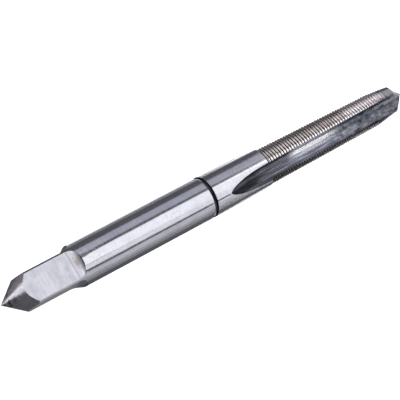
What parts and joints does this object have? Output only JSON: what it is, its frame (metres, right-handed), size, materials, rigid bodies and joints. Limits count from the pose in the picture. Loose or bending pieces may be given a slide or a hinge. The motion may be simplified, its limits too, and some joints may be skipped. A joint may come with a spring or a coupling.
{
  "type": "thread tap",
  "caption": "Straight-flute hand tap with a pointed rear centre, square drive, plain shank with a ring groove, and a long fine-pitch right-hand thread with a bevelled lead and point.",
  "frame": {"origin": "on the tap's axis, halfway along the plain shank", "axes": "+X along the axis towards the thread and its point, +Z out of one drive flat"},
  "size_m": [0.0586, 0.005, 0.005],
  "materials": {
    "tool_steel": "ground"
  },
  "bodies": {
    "root": {"tap": "tool_steel"}
  },
  "joints": []
}
